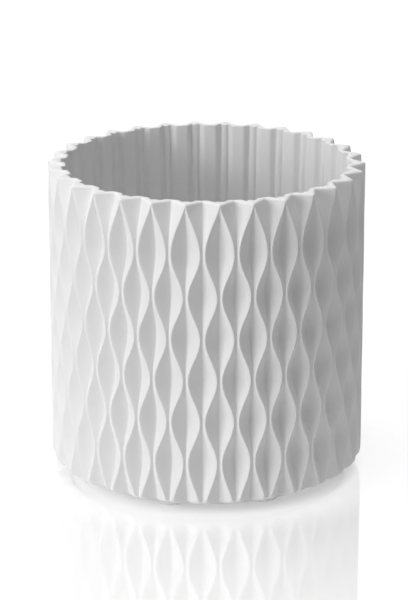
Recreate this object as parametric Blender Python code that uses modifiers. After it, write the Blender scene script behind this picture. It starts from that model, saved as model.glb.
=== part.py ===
"""Rotating pen cup on a ball-bearing base.

A round open cup with a moulded lens relief stands on a low disc. Between the two
lies a thrust bearing: a grooved race under the cup, a grooved race on the disc and
twelve balls in a cage. A bushed centre boss keeps them in line, and one screw with
a washer holds the cup down on the disc.

Metres, +Z up. The origin is on the turning axis, on the surface that the feet
stand on. The front is -Y.
"""

import bpy
import bmesh
from math import atan2, cos, pi, radians, sin, sqrt, tau

from mathutils import Matrix

# Cup wall and its relief
OUTER_RADIUS = 0.0550        # at the ridges
WALL_HEIGHT = 0.1065         # from the lower edge to the rim
DESK_GAP = 0.0040            # under the wall's lower edge
RELIEF_PERIODS = 30          # pairs of lens columns round the cup
LENS_HEIGHT = 0.0147         # half a wave of the ridges
FIRST_LENS_DROP = 0.0030     # from the rim to the widest place of the first lenses
FULL_LENSES = 6              # of that height, below the first widest place
LAST_LENS_HEIGHT = 0.0175    # the lens that the lower edge cuts off is longer
TIP_POWER = 1.35             # of the rim lenses' narrowing to a point
TIP_WIDTH_SHARE = 0.03       # of the widest lens, left at that point
VALLEY_DEPTH = 0.0042        # at a lens's widest place
RIDGE_SWING_SHARE = 0.70     # of the ridges' mean distance to a crease
RELIEF_TURN = radians(4.55)  # first crease, from the front
ROWS_PER_LENS = 3
RIM_ROUND = 0.0008
RIM_ROWS = 2
LOWER_EDGE_ROUND = 0.0030    # where the wall turns in at its lower edge
LOWER_EDGE_ROWS = 2

# Inside of the cup
WALL_THICKNESS = 0.0022      # behind the deepest crease
WIDE_RIB_DEPTH = 0.0014
NARROW_RIB_DEPTH = 0.0007
FLOOR_THICKNESS = 0.0025
FLOOR_FILLET = 0.0030
FILLET_ROWS = 2

# Underside of the cup
SKIRT_THICKNESS = 0.0018     # behind the deepest crease, below the floor
SEAT_BOSS_HEIGHT = 0.0025
LIP_HEIGHT = 0.0010
LIP_THICKNESS = 0.0014
CUP_RIB_COUNT = 12
CUP_RIB_THICKNESS = 0.0014
CUP_RIB_HEIGHT = 0.0020
BOSS_RADIUS = 0.0050
SHOULDER_RADIUS = 0.0092
SHOULDER_DROP = 0.0021

# Gaps between pieces
SEAT_GAP = 0.0003            # between pieces that touch
RUN_GAP = 0.0003             # round what turns or rolls
SKIRT_GAP = 0.0010

# Base disc
BASE_THICKNESS = 0.0028
BASE_RIM_HEIGHT = 0.0040
BASE_RIM_THICKNESS = 0.0018
BASE_CHAMFER = 0.0005
BASE_RIB_COUNT = 8
BASE_RIB_THICKNESS = 0.0016
BASE_RIB_HEIGHT = 0.0022
HUB_RADIUS = 0.0115
HUB_WEB = 0.0022
COLLAR_RADIUS = 0.0095
POCKET_RADIUS = 0.0095
POCKET_DEPTH = 0.0044

# Bearing
BALL_COUNT = 12
BALL_RADIUS = 0.0025
BALL_SEGMENTS = 10
BALL_RINGS = 6
BALL_CIRCLE_RADIUS = 0.0310
RACE_FLOOR = 0.0013
GROOVE_DEPTH = 0.0011
RACE_LAND = 0.0028           # flat beside the groove
GROOVE_POINTS = 5
CAGE_THICKNESS = 0.0016
CAGE_STEPS = 36
CAGE_HOLE_STEPS = 10
CAGE_WEB = 0.0014            # round each ball's hole

# Pivot
BUSH_WALL = 0.0017
BUSH_FLANGE_RADIUS = 0.0092
BUSH_FLANGE_THICKNESS = 0.0010
WASHER_RADIUS = 0.0084
WASHER_THICKNESS = 0.0010
SCREW_SHANK_RADIUS = 0.0015
SCREW_LENGTH = 0.0090
SCREW_HEAD_RADIUS = 0.0030
SCREW_HEAD_HEIGHT = 0.0017
PILOT_SPARE = 0.0008         # hole beyond the screw's end

# Feet
FOOT_COUNT = 8
FOOT_RADIUS = 0.0060
FOOT_HEIGHT = 0.0022
FOOT_ROUND = 0.0008
FOOT_RECESS = 0.0009
FOOT_MARGIN = 0.0006         # between a foot's recess and the disc's chamfer
FOOT_TURN = radians(-17.2)   # first foot, from the front

# Steps round the turned pieces
BODY_STEPS = 36
RACE_STEPS = 36
BUSH_STEPS = 24
SMALL_STEPS = 20
FOOT_STEPS = 12
SHARP_ANGLE = radians(35)
OVERRUN = 0.0010             # of every cutter past what it cuts
WELD = 0.00001

# Levels, from the feet up
BASE_UNDER = FOOT_HEIGHT + SEAT_GAP - FOOT_RECESS
BASE_TOP = BASE_UNDER + BASE_THICKNESS
LOWER_RACE_UNDER = BASE_TOP + SEAT_GAP
LOWER_RACE_TOP = LOWER_RACE_UNDER + RACE_FLOOR + GROOVE_DEPTH
GROOVE_RADIUS = BALL_RADIUS + RUN_GAP
BALL_LEVEL = LOWER_RACE_UNDER + RACE_FLOOR + GROOVE_RADIUS
UPPER_RACE_UNDER = 2 * BALL_LEVEL - LOWER_RACE_TOP
UPPER_RACE_TOP = 2 * BALL_LEVEL - LOWER_RACE_UNDER
SEAT_LEVEL = UPPER_RACE_TOP + SEAT_GAP
SLAB_UNDER = SEAT_LEVEL + SEAT_BOSS_HEIGHT
FLOOR_LEVEL = SLAB_UNDER + FLOOR_THICKNESS
RIM_LEVEL = DESK_GAP + WALL_HEIGHT
SHOULDER_LEVEL = SLAB_UNDER - SHOULDER_DROP
BUSH_TOP = SHOULDER_LEVEL - RUN_GAP
FLANGE_UNDER = BUSH_TOP - BUSH_FLANGE_THICKNESS
COLLAR_TOP = FLANGE_UNDER - SEAT_GAP
POCKET_TOP = BASE_UNDER + POCKET_DEPTH
HUB_TOP = POCKET_TOP + HUB_WEB
WASHER_TOP = POCKET_TOP - RUN_GAP
BOSS_END = WASHER_TOP + SEAT_GAP
WASHER_UNDER = WASHER_TOP - WASHER_THICKNESS
SCREW_SEAT = WASHER_UNDER - SEAT_GAP
SCREW_TIP = SCREW_SEAT + SCREW_LENGTH
PILOT_TOP = SCREW_TIP + PILOT_SPARE

# Radii, from the wall inwards
RIB_CREST_RADIUS = OUTER_RADIUS - VALLEY_DEPTH - WALL_THICKNESS
INNER_RADIUS = RIB_CREST_RADIUS + WIDE_RIB_DEPTH
SKIRT_RADIUS = OUTER_RADIUS - VALLEY_DEPTH - SKIRT_THICKNESS
BASE_RADIUS = SKIRT_RADIUS - SKIRT_GAP
GROOVE_HALF_WIDTH = sqrt(GROOVE_RADIUS ** 2 - (GROOVE_RADIUS - GROOVE_DEPTH) ** 2)
RACE_HALF_WIDTH = GROOVE_HALF_WIDTH + RACE_LAND
RACE_INNER_RADIUS = BALL_CIRCLE_RADIUS - RACE_HALF_WIDTH
RACE_OUTER_RADIUS = BALL_CIRCLE_RADIUS + RACE_HALF_WIDTH
LIP_INNER_EDGE = RACE_INNER_RADIUS - SEAT_GAP
LIP_OUTER_EDGE = RACE_OUTER_RADIUS + SEAT_GAP
CAGE_HALF_WIDTH = BALL_RADIUS + RUN_GAP + CAGE_WEB
BUSH_BORE = BOSS_RADIUS + RUN_GAP
BUSH_RADIUS = BUSH_BORE + BUSH_WALL
HUB_BORE = BUSH_RADIUS + SEAT_GAP
SCREW_HOLE = SCREW_SHANK_RADIUS + SEAT_GAP
RECESS_RADIUS = FOOT_RADIUS + SEAT_GAP
FOOT_CIRCLE_RADIUS = BASE_RADIUS - BASE_CHAMFER - FOOT_MARGIN - RECESS_RADIUS

# Relief angles: a crease every half period, a ridge between two creases
PERIOD = tau / RELIEF_PERIODS
RIDGE_OFFSET = PERIOD / 4
RIDGE_SWING = RIDGE_OFFSET * RIDGE_SWING_SHARE
WIDEST_HALF_LENS = RIDGE_OFFSET + RIDGE_SWING


def clear_scene():
    for obj in list(bpy.data.objects):
        bpy.data.objects.remove(obj, do_unlink=True)


def make_collection(name):
    collection = bpy.data.collections.new(name)
    bpy.context.scene.collection.children.link(collection)
    return collection


def make_material(name, color, roughness, metallic=0.0):
    material = bpy.data.materials.new(name)
    material.use_nodes = True
    shader = material.node_tree.nodes["Principled BSDF"]
    shader.inputs["Base Color"].default_value = (*color, 1.0)
    shader.inputs["Roughness"].default_value = roughness
    shader.inputs["Metallic"].default_value = metallic
    return material


def on_circle(radius, angle, level=0.0):
    """Point at an angle from the front, positive towards +X."""
    return (radius * sin(angle), -radius * cos(angle), level)


def make_object(name, mesh, collection):
    obj = bpy.data.objects.new(name, mesh)
    collection.objects.link(obj)
    return obj


def turned(name, profile, steps, collection, closed=True):
    """Solid of revolution from (radius, level) points that run down its outer side."""
    mesh = bpy.data.meshes.new(name)
    edges = [(i, i + 1) for i in range(len(profile) - 1)]
    if closed:
        edges.append((len(profile) - 1, 0))
    mesh.from_pydata([(radius, 0.0, level) for radius, level in profile], edges, [])
    obj = make_object(name, mesh, collection)
    screw = obj.modifiers.new("Turn", "SCREW")
    screw.steps = steps
    screw.render_steps = steps
    screw.use_merge_vertices = True
    screw.merge_threshold = WELD
    return obj


def mesh_object(name, bm, collection):
    mesh = bpy.data.meshes.new(name)
    bm.to_mesh(mesh)
    bm.free()
    return make_object(name, mesh, collection)


def ring_of_cylinders(name, radius, circle, angles, low, high, steps, collection):
    """Upright cylinders round the axis, in one cutter object."""
    bm = bmesh.new()
    for angle in angles:
        made = bmesh.ops.create_cone(bm, cap_ends=True, segments=steps, radius1=radius,
                                     radius2=radius, depth=high - low)["verts"]
        bmesh.ops.rotate(bm, verts=made, matrix=Matrix.Rotation(angle, 3, "Z"))
        bmesh.ops.translate(bm, verts=made, vec=on_circle(circle, angle, (low + high) / 2))
    return mesh_object(name, bm, collection)


def radial_bars(name, count, thickness, inner, outer, low, high, collection):
    """Boxes that run out from the axis, evenly spread, in one cutter object."""
    bm = bmesh.new()
    for index in range(count):
        box = bmesh.ops.create_cube(bm, size=1.0)["verts"]
        bmesh.ops.scale(bm, verts=box, vec=(thickness, outer - inner, high - low))
        bmesh.ops.translate(bm, verts=box, vec=(0.0, -(inner + outer) / 2, (low + high) / 2))
        turn = tau * (index + 0.5) / count
        bmesh.ops.rotate(bm, verts=box, matrix=Matrix.Rotation(turn, 3, "Z"))
    return mesh_object(name, bm, collection)


def cut(obj, tool, operation="DIFFERENCE"):
    tool.hide_render = True
    tool.display_type = "WIRE"
    modifier = obj.modifiers.new(tool.name, "BOOLEAN")
    modifier.operation = operation
    modifier.object = tool
    modifier.solver = "EXACT"


def finish(obj, material, parent):
    """Keep the evaluated shape, shaded smooth up to its sharp edges."""
    graph = bpy.context.evaluated_depsgraph_get()
    mesh = bpy.data.meshes.new_from_object(obj.evaluated_get(graph))
    mesh.name = obj.name
    obj.modifiers.clear()
    obj.data = mesh
    mesh.materials.clear()
    mesh.materials.append(material)
    mesh.shade_smooth()
    mesh.set_sharp_from_angle(angle=SHARP_ANGLE)
    obj.parent = parent


def ringed_cylinder(points_round, levels):
    """Capped cylinder primitive of unit radius, cut into rows at the given levels."""
    low, high = levels[0], levels[-1]
    bm = bmesh.new()
    bmesh.ops.create_cone(bm, cap_ends=True, segments=points_round, radius1=1.0,
                          radius2=1.0, depth=high - low)
    bmesh.ops.translate(bm, verts=bm.verts, vec=(0.0, 0.0, (low + high) / 2))
    for level in levels[1:-1]:
        everything = bm.verts[:] + bm.edges[:] + bm.faces[:]
        bmesh.ops.bisect_plane(bm, geom=everything, dist=WELD,
                               plane_co=(0.0, 0.0, level), plane_no=(0.0, 0.0, 1.0))
    return bm


def shape_rows(bm, points_round, law):
    """Move each point of a ringed cylinder to law(number round, level)."""
    for vert in bm.verts:
        place = atan2(vert.co.y, vert.co.x) / tau * points_round
        angle, radius = law(round(place) % points_round, vert.co.z)
        vert.co = on_circle(radius, angle, vert.co.z)


def even_half_lens(level):
    """Half width, as an angle, of the lenses on the even creases at a level."""
    drop = max(RIM_LEVEL - level, 0.0)
    to_widest = FIRST_LENS_DROP + LENS_HEIGHT
    if drop < to_widest:
        share = sin(pi / 2 * drop / to_widest) ** TIP_POWER
        return WIDEST_HALF_LENS * max(share, TIP_WIDTH_SHARE)
    lenses = (drop - FIRST_LENS_DROP) / LENS_HEIGHT
    if lenses > FULL_LENSES:
        lenses = FULL_LENSES + (lenses - FULL_LENSES) * LENS_HEIGHT / LAST_LENS_HEIGHT
    return RIDGE_OFFSET - RIDGE_SWING * cos(pi * lenses)


def round_inset(radius, height):
    """How far a rounded edge has turned in at a height past the start of its arc."""
    height = min(max(height, 0.0), radius)
    return radius - sqrt(radius ** 2 - height ** 2)


def relief_law(number, level):
    """Points round the wall: even crease, ridge, odd crease, ridge, and so on."""
    step, quarter = divmod(number, 4)
    even_half = even_half_lens(level)
    odd_half = PERIOD / 2 - even_half
    angle = RELIEF_TURN + step * PERIOD
    angle += (0.0, even_half, PERIOD / 2, PERIOD - even_half)[quarter]
    half_lens = (even_half, 0.0, odd_half, 0.0)[quarter]
    depth = VALLEY_DEPTH * half_lens / WIDEST_HALF_LENS
    depth += round_inset(RIM_ROUND, level - RIM_LEVEL + RIM_ROUND)
    lower_inset = round_inset(LOWER_EDGE_ROUND, DESK_GAP + LOWER_EDGE_ROUND - level)
    return angle, OUTER_RADIUS - max(depth, lower_inset)


def relief_levels():
    """Row levels at the widest and pinched places of the lenses and at both round edges."""
    row = LENS_HEIGHT / ROWS_PER_LENS
    levels = []
    for number in range(LOWER_EDGE_ROWS, -1, -1):
        rise = 1.0 - sin(pi / 2 * number / LOWER_EDGE_ROWS)
        levels.append(DESK_GAP + LOWER_EDGE_ROUND * rise)
    first = RIM_LEVEL - FIRST_LENS_DROP
    count = int((first - levels[-1]) / row - 0.5)
    for number in range(count, -1, -1):
        levels.append(first - number * row)
    for number in range(RIM_ROWS + 1):
        rise = sin(pi / 2 * number / RIM_ROWS)
        levels.append(RIM_LEVEL - RIM_ROUND * (1.0 - rise))
    return levels


# Five points a period on the inner wall: a narrow rib's crest, then both edges of
# the flat, then both edges of a wide rib's crest, as shares of a period
INNER_POINT_SHARES = (0.0, 0.10, 0.36, 0.64, 0.90)


def inner_law(number, level):
    """Fluted inner wall that rounds over into the floor."""
    step, place = divmod(number, len(INNER_POINT_SHARES))
    angle = RELIEF_TURN + (step + INNER_POINT_SHARES[place]) * PERIOD
    rib_depth = (NARROW_RIB_DEPTH, 0.0, WIDE_RIB_DEPTH, WIDE_RIB_DEPTH, 0.0)[place]
    above_floor = level - FLOOR_LEVEL
    if above_floor >= FLOOR_FILLET:
        return angle, INNER_RADIUS - rib_depth
    fade = above_floor / FLOOR_FILLET
    inset = round_inset(FLOOR_FILLET, FLOOR_FILLET - above_floor)
    return angle, INNER_RADIUS - rib_depth * fade - inset


def make_cup_cavity(tools):
    levels = [FLOOR_LEVEL]
    for row in range(1, FILLET_ROWS + 1):
        turn = pi / 2 * row / FILLET_ROWS
        levels.append(FLOOR_LEVEL + FLOOR_FILLET * (1.0 - cos(turn)))
    levels.append(RIM_LEVEL + OVERRUN)
    points_round = RELIEF_PERIODS * len(INNER_POINT_SHARES)
    bm = ringed_cylinder(points_round, levels)
    shape_rows(bm, points_round, inner_law)
    return mesh_object("cup_cavity", bm, tools)


def make_cup_underside(tools):
    """Cutter of the space below the floor, round the boss and the race's seat."""
    lip_end = SEAT_LEVEL - LIP_HEIGHT
    low = DESK_GAP - OVERRUN
    profile = [
        (0.0, PILOT_TOP),
        (SCREW_HOLE, PILOT_TOP),
        (SCREW_HOLE, BOSS_END),
        (BOSS_RADIUS, BOSS_END),
        (BOSS_RADIUS, SHOULDER_LEVEL),
        (SHOULDER_RADIUS, SHOULDER_LEVEL),
        (SHOULDER_RADIUS, SLAB_UNDER),
        (LIP_INNER_EDGE - LIP_THICKNESS, SLAB_UNDER),
        (LIP_INNER_EDGE - LIP_THICKNESS, lip_end),
        (LIP_INNER_EDGE, lip_end),
        (LIP_INNER_EDGE, SEAT_LEVEL),
        (LIP_OUTER_EDGE, SEAT_LEVEL),
        (LIP_OUTER_EDGE, lip_end),
        (LIP_OUTER_EDGE + LIP_THICKNESS, lip_end),
        (LIP_OUTER_EDGE + LIP_THICKNESS, SLAB_UNDER),
        (SKIRT_RADIUS, SLAB_UNDER),
        (SKIRT_RADIUS, low),
        (0.0, low),
    ]
    return turned("cup_underside", profile, BODY_STEPS, tools, closed=False)


def make_cup_ribs(tools):
    """Stiffening ribs under the floor, inside and outside the race's seat."""
    low = SLAB_UNDER - CUP_RIB_HEIGHT
    high = SLAB_UNDER + FLOOR_THICKNESS / 2
    outer = radial_bars("cup_outer_ribs", CUP_RIB_COUNT, CUP_RIB_THICKNESS,
                        LIP_OUTER_EDGE + LIP_THICKNESS / 2, SKIRT_RADIUS + SKIRT_THICKNESS / 2,
                        low, high, tools)
    inner = radial_bars("cup_inner_ribs", CUP_RIB_COUNT // 2, CUP_RIB_THICKNESS,
                        (BOSS_RADIUS + SHOULDER_RADIUS) / 2, LIP_INNER_EDGE - LIP_THICKNESS / 2,
                        low, high, tools)
    return outer, inner


def make_cup_body(parts, tools):
    points_round = RELIEF_PERIODS * 4
    bm = ringed_cylinder(points_round, relief_levels())
    shape_rows(bm, points_round, relief_law)
    caps = [face for face in bm.faces if len(face.verts) > 4]
    bmesh.ops.triangulate(bm, faces=caps, ngon_method="EAR_CLIP")
    cup = mesh_object("cup_body", bm, parts)
    cut(cup, make_cup_cavity(tools))
    cut(cup, make_cup_underside(tools))
    for ribs in make_cup_ribs(tools):
        cut(cup, ribs, "UNION")
    return cup


def make_base_disc(parts, tools):
    ring_top = LOWER_RACE_UNDER + LIP_HEIGHT
    rim_top = BASE_TOP + BASE_RIM_HEIGHT
    profile = [
        (BASE_RADIUS, rim_top),
        (BASE_RADIUS, BASE_UNDER + BASE_CHAMFER),
        (BASE_RADIUS - BASE_CHAMFER, BASE_UNDER),
        (POCKET_RADIUS, BASE_UNDER),
        (POCKET_RADIUS, POCKET_TOP),
        (HUB_BORE, POCKET_TOP),
        (HUB_BORE, COLLAR_TOP),
        (COLLAR_RADIUS, COLLAR_TOP),
        (COLLAR_RADIUS, HUB_TOP),
        (HUB_RADIUS, HUB_TOP),
        (HUB_RADIUS, BASE_TOP),
        (LIP_INNER_EDGE - LIP_THICKNESS, BASE_TOP),
        (LIP_INNER_EDGE - LIP_THICKNESS, ring_top),
        (LIP_INNER_EDGE, ring_top),
        (LIP_INNER_EDGE, BASE_TOP),
        (LIP_OUTER_EDGE, BASE_TOP),
        (LIP_OUTER_EDGE, ring_top),
        (LIP_OUTER_EDGE + LIP_THICKNESS, ring_top),
        (LIP_OUTER_EDGE + LIP_THICKNESS, BASE_TOP),
        (BASE_RADIUS - BASE_RIM_THICKNESS, BASE_TOP),
        (BASE_RADIUS - BASE_RIM_THICKNESS, rim_top),
    ]
    disc = turned("base_disc", profile, BODY_STEPS, parts)
    low = BASE_TOP - BASE_THICKNESS / 2
    high = BASE_TOP + BASE_RIB_HEIGHT
    outer = radial_bars("base_outer_ribs", BASE_RIB_COUNT, BASE_RIB_THICKNESS,
                        LIP_OUTER_EDGE + LIP_THICKNESS / 2,
                        BASE_RADIUS - BASE_RIM_THICKNESS / 2, low, high, tools)
    inner = radial_bars("base_inner_ribs", BASE_RIB_COUNT, BASE_RIB_THICKNESS,
                        (POCKET_RADIUS + HUB_RADIUS) / 2, LIP_INNER_EDGE - LIP_THICKNESS / 2,
                        low, high, tools)
    cut(disc, outer, "UNION")
    cut(disc, inner, "UNION")
    recesses = ring_of_cylinders("foot_recesses", RECESS_RADIUS, FOOT_CIRCLE_RADIUS,
                                 foot_angles(), BASE_UNDER - OVERRUN,
                                 BASE_UNDER + FOOT_RECESS, FOOT_STEPS, tools)
    cut(disc, recesses)
    return disc


def groove_points(side):
    """Arc of a race's groove: side is -1 below the balls and 1 above them."""
    half_angle = atan2(GROOVE_HALF_WIDTH, GROOVE_RADIUS - GROOVE_DEPTH)
    points = []
    for index in range(GROOVE_POINTS):
        angle = half_angle * (2 * index / (GROOVE_POINTS - 1) - 1)
        points.append((BALL_CIRCLE_RADIUS + GROOVE_RADIUS * sin(angle),
                       BALL_LEVEL + side * GROOVE_RADIUS * cos(angle)))
    return points


def make_lower_race(parts):
    profile = [
        (RACE_OUTER_RADIUS, LOWER_RACE_TOP),
        (RACE_OUTER_RADIUS, LOWER_RACE_UNDER),
        (RACE_INNER_RADIUS, LOWER_RACE_UNDER),
        (RACE_INNER_RADIUS, LOWER_RACE_TOP),
    ]
    return turned("lower_race", profile + groove_points(-1), RACE_STEPS, parts)


def make_upper_race(parts):
    profile = [
        (RACE_INNER_RADIUS, UPPER_RACE_UNDER),
        (RACE_INNER_RADIUS, UPPER_RACE_TOP),
        (RACE_OUTER_RADIUS, UPPER_RACE_TOP),
        (RACE_OUTER_RADIUS, UPPER_RACE_UNDER),
    ]
    return turned("upper_race", profile + groove_points(1)[::-1], RACE_STEPS, parts)


def ball_angles():
    return [tau * index / BALL_COUNT for index in range(BALL_COUNT)]


def make_ball_cage(parts, tools):
    low = BALL_LEVEL - CAGE_THICKNESS / 2
    high = BALL_LEVEL + CAGE_THICKNESS / 2
    profile = [
        (BALL_CIRCLE_RADIUS + CAGE_HALF_WIDTH, high),
        (BALL_CIRCLE_RADIUS + CAGE_HALF_WIDTH, low),
        (BALL_CIRCLE_RADIUS - CAGE_HALF_WIDTH, low),
        (BALL_CIRCLE_RADIUS - CAGE_HALF_WIDTH, high),
    ]
    cage = turned("ball_cage", profile, CAGE_STEPS, parts)
    holes = ring_of_cylinders("cage_holes", BALL_RADIUS + RUN_GAP, BALL_CIRCLE_RADIUS,
                              ball_angles(), low - OVERRUN, high + OVERRUN,
                              CAGE_HOLE_STEPS, tools)
    cut(cage, holes)
    return cage


def make_balls(parts):
    bm = bmesh.new()
    bmesh.ops.create_uvsphere(bm, u_segments=BALL_SEGMENTS,
                              v_segments=BALL_RINGS, radius=BALL_RADIUS)
    mesh = bpy.data.meshes.new("ball")
    bm.to_mesh(mesh)
    bm.free()
    balls = []
    for number, angle in enumerate(ball_angles(), start=1):
        ball = make_object(f"ball_{number:02d}", mesh, parts)
        ball.location = on_circle(BALL_CIRCLE_RADIUS, angle, BALL_LEVEL)
        balls.append(ball)
    return balls


def make_pivot_bush(parts):
    under = POCKET_TOP + SEAT_GAP
    profile = [
        (BUSH_FLANGE_RADIUS, BUSH_TOP),
        (BUSH_FLANGE_RADIUS, FLANGE_UNDER),
        (BUSH_RADIUS, FLANGE_UNDER),
        (BUSH_RADIUS, under),
        (BUSH_BORE, under),
        (BUSH_BORE, BUSH_TOP),
    ]
    return turned("pivot_bush", profile, BUSH_STEPS, parts)


def make_pivot_washer(parts):
    profile = [
        (WASHER_RADIUS, WASHER_TOP),
        (WASHER_RADIUS, WASHER_UNDER),
        (SCREW_HOLE, WASHER_UNDER),
        (SCREW_HOLE, WASHER_TOP),
    ]
    return turned("pivot_washer", profile, SMALL_STEPS, parts)


def make_pivot_screw(parts):
    head_round = SCREW_HEAD_HEIGHT / 3
    profile = [
        (0.0, SCREW_TIP),
        (SCREW_SHANK_RADIUS, SCREW_TIP),
        (SCREW_SHANK_RADIUS, SCREW_SEAT),
        (SCREW_HEAD_RADIUS, SCREW_SEAT),
        (SCREW_HEAD_RADIUS, SCREW_SEAT - SCREW_HEAD_HEIGHT + head_round),
        (SCREW_HEAD_RADIUS - head_round, SCREW_SEAT - SCREW_HEAD_HEIGHT),
        (0.0, SCREW_SEAT - SCREW_HEAD_HEIGHT),
    ]
    return turned("pivot_screw", profile, SMALL_STEPS, parts, closed=False)


def foot_angles():
    return [FOOT_TURN + tau * index / FOOT_COUNT for index in range(FOOT_COUNT)]


def make_feet(parts):
    profile = [
        (0.0, FOOT_HEIGHT),
        (FOOT_RADIUS, FOOT_HEIGHT),
        (FOOT_RADIUS, FOOT_ROUND),
        (FOOT_RADIUS - FOOT_ROUND * (1.0 - cos(pi / 4)), FOOT_ROUND * (1.0 - sin(pi / 4))),
        (FOOT_RADIUS - FOOT_ROUND, 0.0),
        (0.0, 0.0),
    ]
    feet = []
    for number, angle in enumerate(foot_angles(), start=1):
        foot = turned(f"foot_{number:02d}", profile, FOOT_STEPS, parts, closed=False)
        foot.location = on_circle(FOOT_CIRCLE_RADIUS, angle)
        foot.rotation_euler.z = angle
        feet.append(foot)
    return feet


def main():
    clear_scene()
    parts = make_collection("rotating_desk_organizer")
    tools = make_collection("cutters")

    white = make_material("cup_white_plastic", (0.86, 0.86, 0.85), 0.55)
    grey = make_material("base_grey_plastic", (0.80, 0.80, 0.79), 0.55)
    steel = make_material("race_steel", (0.62, 0.62, 0.63), 0.32, 1.0)
    chrome = make_material("ball_steel", (0.75, 0.75, 0.77), 0.12, 1.0)
    nylon = make_material("cage_nylon", (0.78, 0.77, 0.72), 0.45)
    acetal = make_material("bush_acetal", (0.70, 0.70, 0.68), 0.35)
    zinc = make_material("screw_zinc", (0.66, 0.66, 0.64), 0.30, 1.0)
    silicone = make_material("foot_silicone", (0.82, 0.83, 0.83), 0.25)

    base_frame = make_object("base_frame", None, parts)
    cup_axis = make_object("cup_axis", None, parts)
    cage_axis = make_object("cage_axis", None, parts)

    pieces = [
        (make_cup_body(parts, tools), white, cup_axis),
        (make_upper_race(parts), steel, cup_axis),
        (make_pivot_washer(parts), zinc, cup_axis),
        (make_pivot_screw(parts), zinc, cup_axis),
        (make_ball_cage(parts, tools), nylon, cage_axis),
        (make_base_disc(parts, tools), grey, base_frame),
        (make_lower_race(parts), steel, base_frame),
        (make_pivot_bush(parts), acetal, base_frame),
    ]
    pieces += [(ball, chrome, cage_axis) for ball in make_balls(parts)]
    pieces += [(foot, silicone, base_frame) for foot in make_feet(parts)]
    bpy.context.view_layer.update()
    for obj, material, parent in pieces:
        finish(obj, material, parent)


main()
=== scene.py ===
"""Looks of the rotating pen cup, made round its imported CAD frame.

Metres, +Z up, the front is -Y. The cup, its bearing, the base disc and the feet are
modelled finely in the places of the CAD nodes, and each rides on its node's body.
"""

from math import acos, cos, pi, radians, sin, sqrt, tau

import bmesh
import bpy
from mathutils import Matrix, Vector


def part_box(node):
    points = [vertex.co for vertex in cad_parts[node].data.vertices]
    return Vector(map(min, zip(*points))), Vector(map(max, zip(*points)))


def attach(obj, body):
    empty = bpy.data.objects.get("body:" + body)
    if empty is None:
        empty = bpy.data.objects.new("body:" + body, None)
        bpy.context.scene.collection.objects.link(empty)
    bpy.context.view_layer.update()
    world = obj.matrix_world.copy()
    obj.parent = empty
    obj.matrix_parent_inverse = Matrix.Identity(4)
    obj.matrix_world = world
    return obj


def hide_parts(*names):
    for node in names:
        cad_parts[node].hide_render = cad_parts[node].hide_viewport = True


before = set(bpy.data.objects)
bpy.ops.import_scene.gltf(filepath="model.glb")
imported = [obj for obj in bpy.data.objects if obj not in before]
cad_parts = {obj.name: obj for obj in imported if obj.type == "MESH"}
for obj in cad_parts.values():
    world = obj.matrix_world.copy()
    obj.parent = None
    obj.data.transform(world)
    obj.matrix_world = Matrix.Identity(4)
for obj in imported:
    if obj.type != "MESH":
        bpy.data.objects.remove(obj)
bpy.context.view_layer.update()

# Camera, fitted to the photograph of 408 x 600 pixels
IMAGE_HEIGHT_PX = 600
FOCAL_PX = 2903.8
AXIS_OFFSET_X_PX = 2.63
AXIS_OFFSET_Y_PX = 11.56
CAMERA_DISTANCE = 1.0231
CAMERA_PITCH = radians(18.40)
CAMERA_AIM_LEVEL = 0.0555
SENSOR_HEIGHT_MM = 36.0
CAMERA_REACH = 20.0

# Studio lamps: name, degrees from the front, degrees up, distance, size, watts
LAMP_AIM_LEVEL = 0.057
LAMPS = (
    ("key_low", -45.0, 3.0, 1.5, 0.6, 6.1),
    ("key_wide", -55.0, 22.0, 1.5, 0.8, 4.4),
    ("key_left", -65.0, 20.0, 1.5, 0.3, 3.1),
    ("side_left", -115.0, 22.0, 1.5, 0.8, 3.0),
    ("top_soft", -30.0, 75.0, 1.5, 1.0, 4.2),
    ("overhead", 0.0, 90.0, 1.5, 1.0, 10.0),
    ("fill_right", 60.0, 22.0, 1.5, 0.8, 1.2),
    ("fill_back", 150.0, 55.0, 1.5, 0.8, 2.5),
)

# World: its light on the object, and what the camera and the gloss see of it
WORLD_LIGHT = 0.05
WORLD_SEEN = 1.0
WHITE = (1.0, 1.0, 1.0, 1.0)

# Table
FLOOR_RADIUS = 6.0
FLOOR_WHITE = 0.45
FLOOR_GLOSS = 1.0
FLOOR_ROUGHNESS = 0.05

# Pool of light that the table gives off round the cup
POOL_INNER = 0.09
POOL_OUTER = 0.22
POOL_LIGHT = 0.31

# Glow that only the camera and the gloss see. It is dimmed in a disc under the cup's edge, which
# paints a shadow there on top of the real one
PAINTED_SHADE_CENTRE_X = 0.003
PAINTED_SHADE_INNER = 0.044
PAINTED_SHADE_OUTER = 0.053
PAINTED_SHADE_GLOW = 0.02
GLOW_FAR = 0.24

# Mirror image on the table, which fades away from the cup
MIRROR_START = 0.054
MIRROR_INNER = 0.076
MIRROR_OUTER = 0.145
MIRROR_NEAR = 0.45
MIRROR_FAR = 0.18
MIRROR_ROUGHNESS = 0.04

# Levels and radii read from the frame
cup_low, cup_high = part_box("cup_body")
disc_low, disc_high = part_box("base_disc")
foot_low, foot_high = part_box("foot_01")
lower_low, lower_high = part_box("lower_race")
upper_low, upper_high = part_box("upper_race")
ball_low, ball_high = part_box("ball_01")
cage_low, cage_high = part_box("ball_cage")
bush_low, bush_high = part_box("pivot_bush")
washer_low, washer_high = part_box("pivot_washer")
screw_low, screw_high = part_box("pivot_screw")

EDGE_LEVEL = cup_low.z
RIM_LEVEL = cup_high.z

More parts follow.
